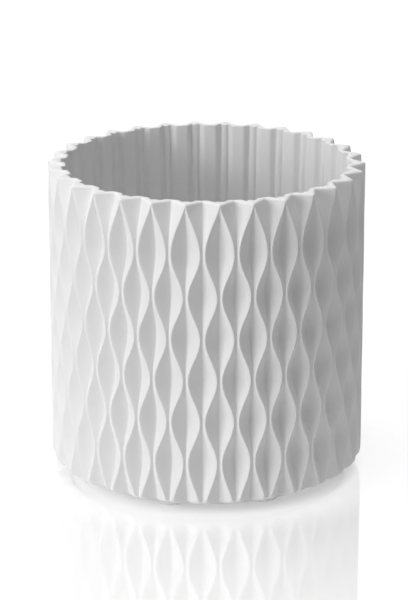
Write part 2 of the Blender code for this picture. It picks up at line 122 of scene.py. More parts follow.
# Relief of the wall
OUTER_RADIUS = 0.05498       # at the ridges
RELIEF_PERIODS = 30          # pairs of lens columns round the cup
LENS_HEIGHT = 0.0147         # half a wave of the ridges
FULL_LENSES = 6              # of that height, below the first widest place
LAST_LENS_HEIGHT = 0.0175    # the lens that the lower edge cuts off is longer
FIRST_LENS_DROP = 0.0030     # from the rim to the widest place of the first lenses
TIP_POWER = 1.35             # of the rim lenses' narrowing to a point
VALLEY_DEPTH = 0.0042        # at a lens's widest place
HOLLOW_SHARE = 0.25          # how far the facets are hollow, 0 for flat ones
RIDGE_SWING_SHARE = 0.70     # of the ridges' mean distance to a crease
RELIEF_TURN = radians(4.55)  # first crease, from the front
RIDGE_ROUND = 0.00040
CREASE_ROUND = 0.00015
ROWS_PER_LENS = 12
RIM_ROUND = 0.0008           # outside of the rim
LOWER_ROUND = 0.0030         # where the wall turns in at its lower edge
LOWER_ROUND_STEPS = 14
LOWER_BLEND = 0.0009         # between that round and the relief
EDGE_ROUND = 0.0004          # inside of the rim, and both sides of the lower edge
ROUND_STEPS = 5
WELD_DISTANCE = 0.00002

# Points across one facet, from the crease at 0 towards the ridge at 1
FACET_SHARES = (0.0, 0.06, 0.24, 0.56, 0.85, 0.95)

# Inside of the cup
INNER_RADIUS = 0.0500
WIDE_RIB_DEPTH = 0.0014
NARROW_RIB_DEPTH = 0.0007
RIM_FLARE = 0.0010           # outwards, between the wide ribs
WIDE_RIB_FLARE = 0.0003
FLARE_DEPTH = 0.0180         # from the rim to where the flare starts
FLOOR_LEVEL = 0.0182
FLOOR_FILLET = 0.0030
FILLET_STEPS = 8

# Ribs of the inside, in shares of a period from the middle of the narrow rib
NARROW_RIB_HALF_SHARE = 0.04
NARROW_RIB_FLANK_SHARE = 0.10
WIDE_RIB_START_SHARE = 0.12
WIDE_RIB_FLANK_SHARE = 0.20

# Underside of the cup
SKIRT_RADIUS = 0.0490
SLAB_UNDER = 0.0157
SEAT_GAP = 0.0003
LIP_HEIGHT = 0.0010
LIP_THICKNESS = 0.0014
SHOULDER_LEVEL = 0.0136
SHOULDER_RADIUS = 0.0092
BOSS_RADIUS = 0.0050
BOSS_END = 0.0060
PILOT_RADIUS = 0.0018
PILOT_TOP = 0.0142
CUP_RIB_COUNT = 12
CUP_RIB_THICKNESS = 0.0014
CUP_RIB_HEIGHT = 0.0020

# Base disc
BASE_THICKNESS = 0.0028
BASE_RIM_THICKNESS = 0.0018
BASE_CHAMFER = 0.0005
BASE_RIB_COUNT = 8
BASE_RIB_THICKNESS = 0.0016
BASE_RIB_HEIGHT = 0.0022
HUB_RADIUS = 0.0115
HUB_TOP = 0.0082
HUB_BORE = 0.0073
COLLAR_RADIUS = 0.0095
COLLAR_TOP = 0.0120
POCKET_RADIUS = 0.0095
POCKET_TOP = 0.0060

# Bearing
BALL_COUNT = 12
BALL_SEGMENTS = 48
RUN_GAP = 0.0003
RACE_HALF_WIDTH = 0.005025
GROOVE_STEPS = 14
CAGE_HALF_WIDTH = 0.0042

# Pivot
BUSH_BORE = 0.0053
BUSH_RADIUS = 0.0070
BUSH_FLANGE_THICKNESS = 0.0010
WASHER_BORE = 0.0018
SHANK_RADIUS = 0.0015
THREAD_DEPTH = 0.00025
THREAD_PITCH = 0.0010
THREAD_STEEPNESS = 2.5       # thread depths gained over one pitch
HEAD_HEIGHT = 0.0017
CROSS_ARM = 0.0019
CROSS_WIDTH = 0.0006
CROSS_DEPTH = 0.0009
CROSS_TAPER_SHARE = 0.5      # of the arms' length, left at the bottom of the recess

# Feet
FOOT_COUNT = 8
FOOT_RADIUS = 0.0060
FOOT_TURN = radians(-17.2)
FOOT_ROUND = 0.0008
FOOT_GAP = 0.0003

# Fineness of the turned and moulded pieces
FINE_STEPS = 192
SMALL_STEPS = 96
TINY_STEPS = 64
CORNER_STEPS = 3
BAR_EDGE_STEPS = 2
THREAD_STEPS = 8             # rows in one pitch
SMALL_EDGE = 0.00025
TINY_EDGE = 0.00015
SMOOTH_ANGLE = radians(32)   # steeper edges are shaded sharp

# Plastics: name, colour, colour of its clouds, least and greatest roughness, specular level
CUP_PLASTIC = ("cup_plastic", (0.82, 0.82, 0.82), (0.80, 0.80, 0.80), 0.50, 0.62, 0.35)
BASE_PLASTIC = ("base_plastic", (0.78, 0.78, 0.775), (0.755, 0.755, 0.75), 0.42, 0.55, 0.4)
CAGE_NYLON = ("cage_nylon", (0.78, 0.77, 0.72), (0.74, 0.73, 0.68), 0.38, 0.50, 0.45)
BUSH_ACETAL = ("bush_acetal", (0.70, 0.70, 0.68), (0.66, 0.66, 0.64), 0.30, 0.40, 0.5)

# Turned metals: name, colour, least and greatest roughness, depth of the fine rings
RACE_STEEL = ("race_steel", (0.62, 0.62, 0.63), 0.26, 0.38, 0.00001)
BALL_STEEL = ("ball_steel", (0.75, 0.75, 0.77), 0.08, 0.14, 0.000001)

# Plating and rubber: name, colour, least and greatest roughness
SCREW_ZINC = ("screw_zinc", (0.66, 0.66, 0.64), 0.26, 0.38)
FOOT_SILICONE = ("foot_silicone", (0.86, 0.87, 0.87), 0.22, 0.30)
SILICONE_TRANSMISSION = 0.25
SILICONE_IOR = 1.41

# Noises of the surfaces: scale per metre, detail, roughness
PLASTIC_CLOUDS = (45.0, 3.0, 0.5)
PLASTIC_FLOW = (130.0, 2.0, 0.5)
PLASTIC_GRAIN = (2400.0, 3.0, 0.6)
METAL_RINGS = (9000.0, 1.0, 0.5)
METAL_STAINS = (220.0, 4.0, 0.6)
ZINC_MOTTLE = (900.0, 5.0, 0.65)
ZINC_PITS = (6000.0, 2.0, 0.5)
SILICONE_CLOUDS = (400.0, 3.0, 0.5)
SILICONE_SKIN = (1500.0, 2.0, 0.5)

# Bumps that they make: height and strength, and strength alone for the metal's rings
PLASTIC_FLOW_BUMP = (0.00006, 0.25)
PLASTIC_GRAIN_BUMP = (0.00007, 0.6)
METAL_RING_STRENGTH = 0.4
COARSE_BUMP = (0.00002, 0.3)
FINE_BUMP = (0.00001, 0.3)

# Noise values between which the colour and the sheen change
NOISE_LOW = 0.3
NOISE_HIGH = 0.7

# Darker patches, as shares of the colour
STAIN_SHARE = 0.9
MOTTLE_SHARE = 0.82
MILK_SHARE = 0.96

# Worked out
PERIOD = tau / RELIEF_PERIODS
POINTS_PER_PERIOD = 4 * len(FACET_SHARES)  # two lenses of two facets
RIDGE_OFFSET = PERIOD / 4
RIDGE_SWING = RIDGE_OFFSET * RIDGE_SWING_SHARE
WIDEST_HALF_LENS = RIDGE_OFFSET + RIDGE_SWING
FACET_SLOPE = VALLEY_DEPTH / (WIDEST_HALF_LENS * OUTER_RADIUS)
BASE_UNDER = disc_low.z
BASE_TOP = BASE_UNDER + BASE_THICKNESS
BASE_RIM_TOP = disc_high.z
BASE_RADIUS = (disc_high.x - disc_low.x) / 2
SEAT_LEVEL = upper_high.z + SEAT_GAP
BALL_RADIUS = (ball_high.z - ball_low.z) / 2
BALL_LEVEL = (ball_high.z + ball_low.z) / 2
BALL_CIRCLE = -(ball_high.y + ball_low.y) / 2
RACE_INNER = BALL_CIRCLE - RACE_HALF_WIDTH
RACE_OUTER = BALL_CIRCLE + RACE_HALF_WIDTH
SEAT_INNER = RACE_INNER - SEAT_GAP
SEAT_OUTER = RACE_OUTER + SEAT_GAP
FOOT_HEIGHT = foot_high.z
FOOT_CIRCLE = sqrt(((foot_low.x + foot_high.x) / 2) ** 2 + ((foot_low.y + foot_high.y) / 2) ** 2)
HEAD_UNDER = screw_low.z
HEAD_TOP = screw_low.z + HEAD_HEIGHT
HEAD_RADIUS = (screw_high.x - screw_low.x) / 2
HEAD_ROUND = HEAD_HEIGHT / 4


# Shapes

def on_circle(radius, angle, level=0.0):
    """Point at an angle from the front, positive towards +X."""
    return Vector((radius * sin(angle), -radius * cos(angle), level))


def link(name, data):
    obj = bpy.data.objects.new(name, data)
    bpy.context.scene.collection.objects.link(obj)
    return obj


def smooth(mesh):
    mesh.shade_smooth()
    mesh.set_sharp_from_angle(angle=SMOOTH_ANGLE)


def mesh_piece(name, bm):
    bmesh.ops.recalc_face_normals(bm, faces=bm.faces)
    mesh = bpy.data.meshes.new(name)
    bm.to_mesh(mesh)
    bm.free()
    smooth(mesh)
    return link(name, mesh)


def rounded(outline, size):
    """Closed outline with its corners eased; points on the axis stay as they are."""
    points = []
    count = len(outline)
    for index, corner in enumerate(outline):
        here = Vector(corner)
        before = Vector(outline[index - 1]) - here
        after = Vector(outline[(index + 1) % count]) - here
        if corner[0] == 0.0:
            points.append(corner)
            continue
        start = here + before.normalized() * min(size, before.length / 2)
        end = here + after.normalized() * min(size, after.length / 2)
        for step in range(CORNER_STEPS + 1):
            t = step / CORNER_STEPS
            point = start * (1 - t) ** 2 + here * (2 * t * (1 - t)) + end * t ** 2
            points.append((point.x, point.y))
    return points


def turned(name, outline, steps):
    """Solid of revolution from a closed outline of (radius, level) points."""
    bm = bmesh.new()
    rings = []
    for radius, level in outline:
        if radius == 0.0:
            rings.append([bm.verts.new((0.0, 0.0, level))])
        else:
            rings.append([bm.verts.new(on_circle(radius, tau * i / steps, level))
                          for i in range(steps)])
    for ring, following in zip(rings, rings[1:] + rings[:1]):
        for i in range(steps):
            j = i + 1
            corners = []
            for vert in (ring[i % len(ring)], ring[j % len(ring)],
                         following[j % len(following)], following[i % len(following)]):
                if vert not in corners:
                    corners.append(vert)
            if len(corners) > 2:
                bm.faces.new(corners)
    return mesh_piece(name, bm)


def skinned(rows):
    """Closed surface through rings of equally many points, with a face over each end."""
    bm = bmesh.new()
    rings = [[bm.verts.new(point) for point in row] for row in rows]
    for lower, upper in zip(rings, rings[1:]):
        for i in range(len(lower)):
            j = (i + 1) % len(lower)
            bm.faces.new((lower[i], lower[j], upper[j], upper[i]))
    bm.faces.new(rings[0][::-1])
    bm.faces.new(rings[-1])
    return bm


def bars(name, count, thickness, inner, outer, low, high, easing):
    """Bars that run out from the axis, the first half a step from the front, edges eased."""
    bm = bmesh.new()
    for index in range(count):
        box = bmesh.ops.create_cube(bm, size=1.0)["verts"]
        bmesh.ops.scale(bm, verts=box, vec=(thickness, outer - inner, high - low))
        bmesh.ops.translate(bm, verts=box, vec=(0.0, -(inner + outer) / 2, (low + high) / 2))
        turn = Matrix.Rotation(tau * (index + 0.5) / count, 3, "Z")
        bmesh.ops.rotate(bm, verts=box, matrix=turn)
    bmesh.ops.bevel(bm, geom=bm.edges[:], offset=easing, segments=BAR_EDGE_STEPS, affect="EDGES")
    return mesh_piece(name, bm)


def carve(piece, cutter):
    """Cut one piece with another, which goes."""
    modifier = piece.modifiers.new("carve", "BOOLEAN")
    modifier.object = cutter
    modifier.solver = "EXACT"
    graph = bpy.context.evaluated_depsgraph_get()
    mesh = bpy.data.meshes.new_from_object(piece.evaluated_get(graph))
    piece.modifiers.clear()
    piece.data = mesh
    smooth(mesh)
    bpy.data.objects.remove(cutter)


def drill(piece, places, radius, reach, steps):
    """Cut an upright round hole at each place, as far up from there as down."""
    bm = bmesh.new()
    for place in places:
        hole = bmesh.ops.create_cone(bm, cap_ends=True, segments=steps, radius1=radius,
                                     radius2=radius, depth=2 * reach)
        bmesh.ops.translate(bm, verts=hole["verts"], vec=place)
    carve(piece, mesh_piece("drill", bm))


# Cup

def even_half_lens(level):
    """Half width, as an angle, of the lenses on the even creases at a level."""
    drop = max(RIM_LEVEL - level, 0.0)
    to_widest = FIRST_LENS_DROP + LENS_HEIGHT
    if drop < to_widest:
        return WIDEST_HALF_LENS * sin(pi / 2 * drop / to_widest) ** TIP_POWER
    lenses = (drop - FIRST_LENS_DROP) / LENS_HEIGHT
    if lenses > FULL_LENSES:
        lenses = FULL_LENSES + (lenses - FULL_LENSES) * LENS_HEIGHT / LAST_LENS_HEIGHT
    return RIDGE_OFFSET - RIDGE_SWING * cos(pi * lenses)


def soft(distance, rounding):
    """Distance from a corner whose point is rounded off."""
    return sqrt(distance * distance + rounding * rounding) - rounding


def facet_depth(half_lens, share):
    """Depth of a point at a share of the way from the crease to the ridge."""
    width = half_lens * OUTER_RADIUS
    if width < WELD_DISTANCE:
        return 0.0
    from_crease = share * width
    from_ridge = width - from_crease
    rise = soft(from_ridge, RIDGE_ROUND) * width / soft(width, RIDGE_ROUND)
    fill = soft(from_crease, CREASE_ROUND) + CREASE_ROUND - from_crease
    hollow = HOLLOW_SHARE * from_ridge * share
    return max(FACET_SLOPE * (rise + hollow - fill), 0.0)


def round_inset(radius, height):
    """How far a rounded edge has turned in at a height past the start of its arc."""
    height = min(max(height, 0.0), radius)
    return radius - sqrt(radius ** 2 - height ** 2)


def blended(first, second, blend):
    """The greater of two values, passing smoothly from one to the other."""
    if blend < WELD_DISTANCE:
        return max(first, second)
    overlap = max(blend - abs(first - second), 0.0)
    return max(first, second) + overlap ** 2 / (4 * blend)


def wall_points(level):
    """(angle, radius) round the wall at one level; its lower edge turns in."""
    even = even_half_lens(level)
    odd = PERIOD / 2 - even
    turn_in = round_inset(LOWER_ROUND, EDGE_LEVEL + LOWER_ROUND - level)
    edge = OUTER_RADIUS - round_inset(EDGE_ROUND, EDGE_LEVEL + EDGE_ROUND - level)
    blend = min(turn_in, LOWER_BLEND)
    points = []
    for number in range(2 * RELIEF_PERIODS):
        crease = RELIEF_TURN + number * PERIOD / 2
        half_lens, next_half = (even, odd) if number % 2 == 0 else (odd, even)
        for share in FACET_SHARES:
            points.append((crease + share * half_lens, facet_depth(half_lens, share)))
        for share in (1.0,) + FACET_SHARES[:0:-1]:
            points.append((crease + PERIOD / 2 - share * next_half,
                           facet_depth(next_half, share)))
    return [(angle, edge - blended(depth, turn_in, blend)) for angle, depth in points]


def ease(value):
    """Slow start and slow end between 0 and 1."""
    value = min(max(value, 0.0), 1.0)
    return value * value * (3 - 2 * value)


def inner_points():
    """(angle, rib depth, flare) round the inner wall, one for each point of the outer wall.

    Towards the rim the wall flares out, and least on the wide ribs.
    """
    points = []
    for index in range(POINTS_PER_PERIOD * RELIEF_PERIODS):
        share = index % POINTS_PER_PERIOD / POINTS_PER_PERIOD
        from_narrow = min(share, 1 - share)
        wide = ease((from_narrow - WIDE_RIB_START_SHARE) / WIDE_RIB_FLANK_SHARE)
        narrow = 1 - ease((from_narrow - NARROW_RIB_HALF_SHARE) / NARROW_RIB_FLANK_SHARE)
        depth = WIDE_RIB_DEPTH * wide + NARROW_RIB_DEPTH * narrow
        flare = RIM_FLARE + (WIDE_RIB_FLARE - RIM_FLARE) * wide
        points.append((RELIEF_TURN + index / POINTS_PER_PERIOD * PERIOD, depth, flare))
    return points


def quarter_round(steps):
    """(inset, rise) shares round a quarter circle, from upright to level."""
    turns = [pi / 2 * i / steps for i in range(steps + 1)]
    return [(1 - cos(turn), sin(turn)) for turn in turns]


def underside_profile():
    """(radius, level) points below the cup's floor, from the pilot hole to the skirt."""
    lip_end = SEAT_LEVEL - LIP_HEIGHT
    return [
        (PILOT_RADIUS, PILOT_TOP),
        (PILOT_RADIUS, BOSS_END),
        (BOSS_RADIUS, BOSS_END),
        (BOSS_RADIUS, SHOULDER_LEVEL),
        (SHOULDER_RADIUS, SHOULDER_LEVEL),
        (SHOULDER_RADIUS, SLAB_UNDER),
        (SEAT_INNER - LIP_THICKNESS, SLAB_UNDER),
        (SEAT_INNER - LIP_THICKNESS, lip_end),
        (SEAT_INNER, lip_end),
        (SEAT_INNER, SEAT_LEVEL),
        (SEAT_OUTER, SEAT_LEVEL),
        (SEAT_OUTER, lip_end),
        (SEAT_OUTER + LIP_THICKNESS, lip_end),
        (SEAT_OUTER + LIP_THICKNESS, SLAB_UNDER),
        (SKIRT_RADIUS, SLAB_UNDER),
        (SKIRT_RADIUS, EDGE_LEVEL + EDGE_ROUND),
        (SKIRT_RADIUS + EDGE_ROUND, EDGE_LEVEL),
    ]


def cup_rows():
    """Rows of points from the pilot hole, round the wall, to the middle of the floor."""
    inner = inner_points()
    rows = [[on_circle(radius, angle, level) for angle, _, _ in inner]
            for radius, level in underside_profile()]
    for _, rise in quarter_round(LOWER_ROUND_STEPS)[::-1]:
        level = EDGE_LEVEL + LOWER_ROUND * (1 - rise)
        rows.append([on_circle(r, a, level) for a, r in wall_points(level)])
    low = EDGE_LEVEL + LOWER_ROUND
    high = RIM_LEVEL - RIM_ROUND
    count = round((high - low) / LENS_HEIGHT * ROWS_PER_LENS)
    for number in range(1, count):
        level = low + (high - low) * number / count
        rows.append([on_circle(r, a, level) for a, r in wall_points(level)])
    for inset, rise in quarter_round(ROUND_STEPS):
        level = high + RIM_ROUND * rise
        rows.append([on_circle(r - RIM_ROUND * inset, a, level) for a, r in wall_points(level)])
    for inset, rise in quarter_round(ROUND_STEPS)[::-1]:
        level = RIM_LEVEL - EDGE_ROUND * (1 - rise)
        rows.append([on_circle(INNER_RADIUS + flare - depth + EDGE_ROUND * inset, a, level)
                     for a, depth, flare in inner])
    rows.append([on_circle(INNER_RADIUS - depth, a, RIM_LEVEL - FLARE_DEPTH)
                 for a, depth, _ in inner])
    for inset, rise in quarter_round(FILLET_STEPS):
        level = FLOOR_LEVEL + FLOOR_FILLET * (1 - rise)
        rows.append([on_circle(INNER_RADIUS - depth * (1 - rise) - FLOOR_FILLET * inset, a, level)
                     for a, depth, _ in inner])
    return rows


def make_cup_shell():
    bm = skinned(cup_rows())
    bmesh.ops.remove_doubles(bm, verts=bm.verts, dist=WELD_DISTANCE)
    return mesh_piece("cup_shell", bm)


def make_cup_ribs():
    low = SLAB_UNDER - CUP_RIB_HEIGHT
    high = SLAB_UNDER + TINY_EDGE
    outer = bars("cup_outer_ribs", CUP_RIB_COUNT, CUP_RIB_THICKNESS,
                 SEAT_OUTER + LIP_THICKNESS / 2, SKIRT_RADIUS + EDGE_ROUND, low, high, TINY_EDGE)
    inner = bars("cup_inner_ribs", CUP_RIB_COUNT // 2, CUP_RIB_THICKNESS,
                 BOSS_RADIUS + SMALL_EDGE, SEAT_INNER - LIP_THICKNESS / 2, low, high, TINY_EDGE)
    return outer, inner


# Base disc and feet

def make_base_plate():
    ring_top = lower_low.z + LIP_HEIGHT
    outline = [
        (BASE_RADIUS, BASE_RIM_TOP),
        (BASE_RADIUS, BASE_UNDER + BASE_CHAMFER),
        (BASE_RADIUS - BASE_CHAMFER, BASE_UNDER),
        (POCKET_RADIUS, BASE_UNDER),
        (POCKET_RADIUS, POCKET_TOP),
        (HUB_BORE, POCKET_TOP),
        (HUB_BORE, COLLAR_TOP),
        (COLLAR_RADIUS, COLLAR_TOP),
        (COLLAR_RADIUS, HUB_TOP),
        (HUB_RADIUS, HUB_TOP),
        (HUB_RADIUS, BASE_TOP),
        (SEAT_INNER - LIP_THICKNESS, BASE_TOP),
        (SEAT_INNER - LIP_THICKNESS, ring_top),
        (SEAT_INNER, ring_top),
        (SEAT_INNER, BASE_TOP),
        (SEAT_OUTER, BASE_TOP),
        (SEAT_OUTER, ring_top),
        (SEAT_OUTER + LIP_THICKNESS, ring_top),
        (SEAT_OUTER + LIP_THICKNESS, BASE_TOP),
        (BASE_RADIUS - BASE_RIM_THICKNESS, BASE_TOP),
        (BASE_RADIUS - BASE_RIM_THICKNESS, BASE_RIM_TOP),
    ]
    plate = turned("base_plate", rounded(outline, SMALL_EDGE), FINE_STEPS)
    places = [on_circle(FOOT_CIRCLE, angle, BASE_UNDER) for angle in foot_angles()]
    drill(plate, places, FOOT_RADIUS + FOOT_GAP, FOOT_HEIGHT + FOOT_GAP - BASE_UNDER, SMALL_STEPS)
    return plate


def make_base_ribs():
    low = BASE_TOP - SMALL_EDGE
    high = BASE_TOP + BASE_RIB_HEIGHT
    outer = bars("base_outer_ribs", BASE_RIB_COUNT, BASE_RIB_THICKNESS,
                 SEAT_OUTER + LIP_THICKNESS / 2, BASE_RADIUS - BASE_RIM_THICKNESS / 2,
                 low, high, TINY_EDGE)
    inner = bars("base_inner_ribs", BASE_RIB_COUNT, BASE_RIB_THICKNESS,
                 HUB_RADIUS - SMALL_EDGE, SEAT_INNER - LIP_THICKNESS / 2, low, high, TINY_EDGE)
    return outer, inner


def foot_angles():
    return [FOOT_TURN + tau * index / FOOT_COUNT for index in range(FOOT_COUNT)]


def make_foot(number, angle):
    """Soft round foot: rounded at its lower edge, sharp where its glue holds it."""
    outline = [(0.0, 0.0), (0.0, FOOT_HEIGHT), (FOOT_RADIUS, FOOT_HEIGHT)]
    for inset, rise in quarter_round(FILLET_STEPS):
        outline.append((FOOT_RADIUS - FOOT_ROUND * inset, FOOT_ROUND * (1 - rise)))
    foot = turned(f"soft_foot_{number:02d}", outline, TINY_STEPS)
    foot.location = on_circle(FOOT_CIRCLE, angle)
    return foot


# Bearing

def make_race(name, under, top, side):
    """Flat ring with a groove towards the balls: side is -1 below them and 1 above."""
    groove_radius = BALL_RADIUS + RUN_GAP
    face = top if side < 0 else under
    back = under if side < 0 else top
    half_angle = acos(abs(face - BALL_LEVEL) / groove_radius)
    groove = []
    for index in range(GROOVE_STEPS + 1):
        angle = half_angle * (2 * index / GROOVE_STEPS - 1)
        groove.append((BALL_CIRCLE + groove_radius * sin(angle),
                       BALL_LEVEL + side * groove_radius * cos(angle)))
    corners = [(RACE_OUTER, face), (RACE_OUTER, back), (RACE_INNER, back), (RACE_INNER, face)]
    eased = rounded(corners, SMALL_EDGE)
    return turned(name, eased + groove, FINE_STEPS)


def ball_angles():
    return [tau * index / BALL_COUNT for index in range(BALL_COUNT)]


def make_ball(number, angle):
    bm = bmesh.new()
    bmesh.ops.create_uvsphere(bm, u_segments=BALL_SEGMENTS, v_segments=BALL_SEGMENTS // 2,
                              radius=BALL_RADIUS)
    ball = mesh_piece(f"steel_ball_{number:02d}", bm)
    ball.location = on_circle(BALL_CIRCLE, angle, BALL_LEVEL)
    return ball


def make_cage():
    outline = [
        (BALL_CIRCLE + CAGE_HALF_WIDTH, cage_high.z),
        (BALL_CIRCLE + CAGE_HALF_WIDTH, cage_low.z),
        (BALL_CIRCLE - CAGE_HALF_WIDTH, cage_low.z),
        (BALL_CIRCLE - CAGE_HALF_WIDTH, cage_high.z),
    ]
    cage = turned("nylon_cage", rounded(outline, SMALL_EDGE), FINE_STEPS)
    places = [on_circle(BALL_CIRCLE, angle, BALL_LEVEL) for angle in ball_angles()]
    drill(cage, places, BALL_RADIUS + RUN_GAP, cage_high.z - cage_low.z, TINY_STEPS)
    return cage


# Pivot

def make_bush():
    flange_radius = (bush_high.x - bush_low.x) / 2
    flange_under = bush_high.z - BUSH_FLANGE_THICKNESS
    outline = [
        (flange_radius, bush_high.z),
        (flange_radius, flange_under),
        (BUSH_RADIUS, flange_under),
        (BUSH_RADIUS, bush_low.z),
        (BUSH_BORE, bush_low.z),
        (BUSH_BORE, bush_high.z),
    ]
    return turned("slide_bush", rounded(outline, TINY_EDGE), SMALL_STEPS)


def make_washer():
    radius = (washer_high.x - washer_low.x) / 2
    outline = [
        (radius, washer_high.z),
        (radius, washer_low.z),
        (WASHER_BORE, washer_low.z),
        (WASHER_BORE, washer_high.z),
    ]
    return turned("plain_washer", rounded(outline, TINY_EDGE), SMALL_STEPS)


def make_screw_head():
    """Head at the screw's lower end; the arms of its cross recess shorten inwards."""
    outline = [
        (0.0, HEAD_TOP),
        (HEAD_RADIUS, HEAD_TOP),
        (HEAD_RADIUS, HEAD_UNDER + HEAD_HEIGHT / 2),
        (HEAD_RADIUS - HEAD_HEIGHT / 2, HEAD_UNDER),
        (0.0, HEAD_UNDER),
    ]
    head = turned("screw_head", rounded(outline, HEAD_ROUND), TINY_STEPS)
    for turn in (0.0, pi / 2):
        bm = bmesh.new()
        arm = bmesh.ops.create_cube(bm, size=1.0)["verts"]
        bmesh.ops.scale(bm, verts=arm, vec=(2 * CROSS_ARM, CROSS_WIDTH, 2 * CROSS_DEPTH))
        for vert in arm:
            if vert.co.z > 0:
                vert.co.x *= CROSS_TAPER_SHARE
        bmesh.ops.rotate(bm, verts=arm, matrix=Matrix.Rotation(turn, 3, "Z"))
        bmesh.ops.translate(bm, verts=arm, vec=(0.0, 0.0, HEAD_UNDER))
        carve(head, mesh_piece("cross_recess", bm))
    return head


def make_screw_shank():
    """Shank with a helical thread, whose rows follow the pitch."""
    count = round((screw_high.z - HEAD_TOP) / THREAD_PITCH * THREAD_STEPS)
    rows = []
    for number in range(count + 1):
        level = HEAD_TOP + (screw_high.z - HEAD_TOP) * number / count
        row = []
        for i in range(TINY_STEPS):
            phase = ((level - HEAD_TOP) / THREAD_PITCH - i / TINY_STEPS) % 1.0
            depth = THREAD_DEPTH * min(1.0, THREAD_STEEPNESS * min(phase, 1 - phase))
            row.append(on_circle(SHANK_RADIUS - depth, tau * i / TINY_STEPS, level))
        rows.append(row)
    return mesh_piece("screw_shank", skinned(rows))


# Materials

def shaded(color, share):
    return tuple(value * share for value in color)


class Surface:
    """A material with short calls for its nodes."""

    def __init__(self, name, color, metallic=0.0, specular=0.5):
        self.material = bpy.data.materials.new(name)
        self.material.use_nodes = True
        self.nodes = self.material.node_tree.nodes
        self.links = self.material.node_tree.links
        self.shader = self.nodes["Principled BSDF"]
        self.shader.inputs["Base Color"].default_value = (*color, 1.0)
        self.shader.inputs["Metallic"].default_value = metallic
        self.shader.inputs["Specular IOR Level"].default_value = specular
        self.place = self.nodes.new("ShaderNodeTexCoord").outputs["Object"]

    def noise(self, scale, detail, roughness, place=None):
        node = self.nodes.new("ShaderNodeTexNoise")
        node.inputs["Scale"].default_value = scale
        node.inputs["Detail"].default_value = detail
        node.inputs["Roughness"].default_value = roughness
        self.links.new(place or self.place, node.inputs["Vector"])
        return node.outputs["Fac"]

    def turning(self):
        """Coordinates that change only with the distance from the axis and the level."""
        split = self.nodes.new("ShaderNodeSeparateXYZ")
        self.links.new(self.place, split.inputs[0])
        flat = self.nodes.new("ShaderNodeCombineXYZ")
        self.links.new(split.outputs["X"], flat.inputs["X"])
        self.links.new(split.outputs["Y"], flat.inputs["Y"])
        radius = self.nodes.new("ShaderNodeVectorMath")
        radius.operation = "LENGTH"
        self.links.new(flat.outputs[0], radius.inputs[0])
        joined = self.nodes.new("ShaderNodeCombineXYZ")
        self.links.new(radius.outputs["Value"], joined.inputs["X"])
        self.links.new(split.outputs["Z"], joined.inputs["Z"])
        return joined.outputs[0]

    def sheen(self, source, low, high):
        """Roughness that follows a noise."""
        node = self.nodes.new("ShaderNodeMapRange")
        node.inputs["From Min"].default_value = NOISE_LOW
        node.inputs["From Max"].default_value = NOISE_HIGH
        node.inputs["To Min"].default_value = low
        node.inputs["To Max"].default_value = high
        self.links.new(source, node.inputs["Value"])
        self.links.new(node.outputs["Result"], self.shader.inputs["Roughness"])

    def tint(self, source, low_color, high_color):
        """Colour that follows a noise."""
        node = self.nodes.new("ShaderNodeValToRGB")
        node.color_ramp.elements[0].position = NOISE_LOW
        node.color_ramp.elements[1].position = NOISE_HIGH
        node.color_ramp.elements[0].color = (*low_color, 1.0)
        node.color_ramp.elements[1].color = (*high_color, 1.0)
        self.links.new(source, node.inputs["Fac"])
        self.links.new(node.outputs["Color"], self.shader.inputs["Base Color"])

    def bump(self, *layers):
        """Bumps on the surface, each a height source, a distance and a strength."""
        under = None
        for height, distance, strength in layers:
            node = self.nodes.new("ShaderNodeBump")
            node.inputs["Distance"].default_value = distance
            node.inputs["Strength"].default_value = strength
            self.links.new(height, node.inputs["Height"])
            if under:
                self.links.new(under, node.inputs["Normal"])
            under = node.outputs["Normal"]
        self.links.new(under, self.shader.inputs["Normal"])


def moulded_plastic(name, color, cloud_color, rough_low, rough_high, specular):
    """Moulded plastic: spark-eroded grain, faint flow clouds and an uneven sheen."""
    surface = Surface(name, color, specular=specular)
    clouds = surface.noise(*PLASTIC_CLOUDS)
    grain = surface.noise(*PLASTIC_GRAIN)
    flow = surface.noise(*PLASTIC_FLOW)
    surface.tint(clouds, cloud_color, color)
    surface.sheen(grain, rough_low, rough_high)
    surface.bump((flow, *PLASTIC_FLOW_BUMP), (grain, *PLASTIC_GRAIN_BUMP))
    return surface.material


def turned_metal(name, color, rough_low, rough_high, ring_depth):
    """Metal with the fine rings that a lathe leaves, and stains in its sheen."""
    surface = Surface(name, color, metallic=1.0)
    rings = surface.noise(*METAL_RINGS, place=surface.turning())
    stains = surface.noise(*METAL_STAINS)
    surface.tint(stains, shaded(color, STAIN_SHARE), color)
    surface.sheen(stains, rough_low, rough_high)
    surface.bump((rings, ring_depth, METAL_RING_STRENGTH))
    return surface.material


def plated_metal(name, color, rough_low, rough_high):
    """Zinc plating: mottled and slightly pitted."""
    surface = Surface(name, color, metallic=1.0)
    mottle = surface.noise(*ZINC_MOTTLE)
    pits = surface.noise(*ZINC_PITS)
    surface.tint(mottle, shaded(color, MOTTLE_SHARE), color)
    surface.sheen(mottle, rough_low, rough_high)
    surface.bump((mottle, *COARSE_BUMP), (pits, *FINE_BUMP))
    return surface.material


def silicone(name, color, rough_low, rough_high):
    """Milky soft rubber with a satin skin."""
    surface = Surface(name, color)
    surface.shader.inputs["Transmission Weight"].default_value = SILICONE_TRANSMISSION
    surface.shader.inputs["IOR"].default_value = SILICONE_IOR
    clouds = surface.noise(*SILICONE_CLOUDS)
    skin = surface.noise(*SILICONE_SKIN)
    surface.tint(clouds, shaded(color, MILK_SHARE), color)
    surface.sheen(clouds, rough_low, rough_high)
    surface.bump((clouds, *COARSE_BUMP), (skin, *FINE_BUMP))
    return surface.material


def dress(piece, material, body, slot, *replaced):
    """Give a piece its material and its body, and hide the nodes that it stands for. The slot is
    not used.
    """
    piece.data.materials.clear()
    piece.data.materials.append(material)
    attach(piece, body)
    if replaced:
        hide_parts(*replaced)


# Studio

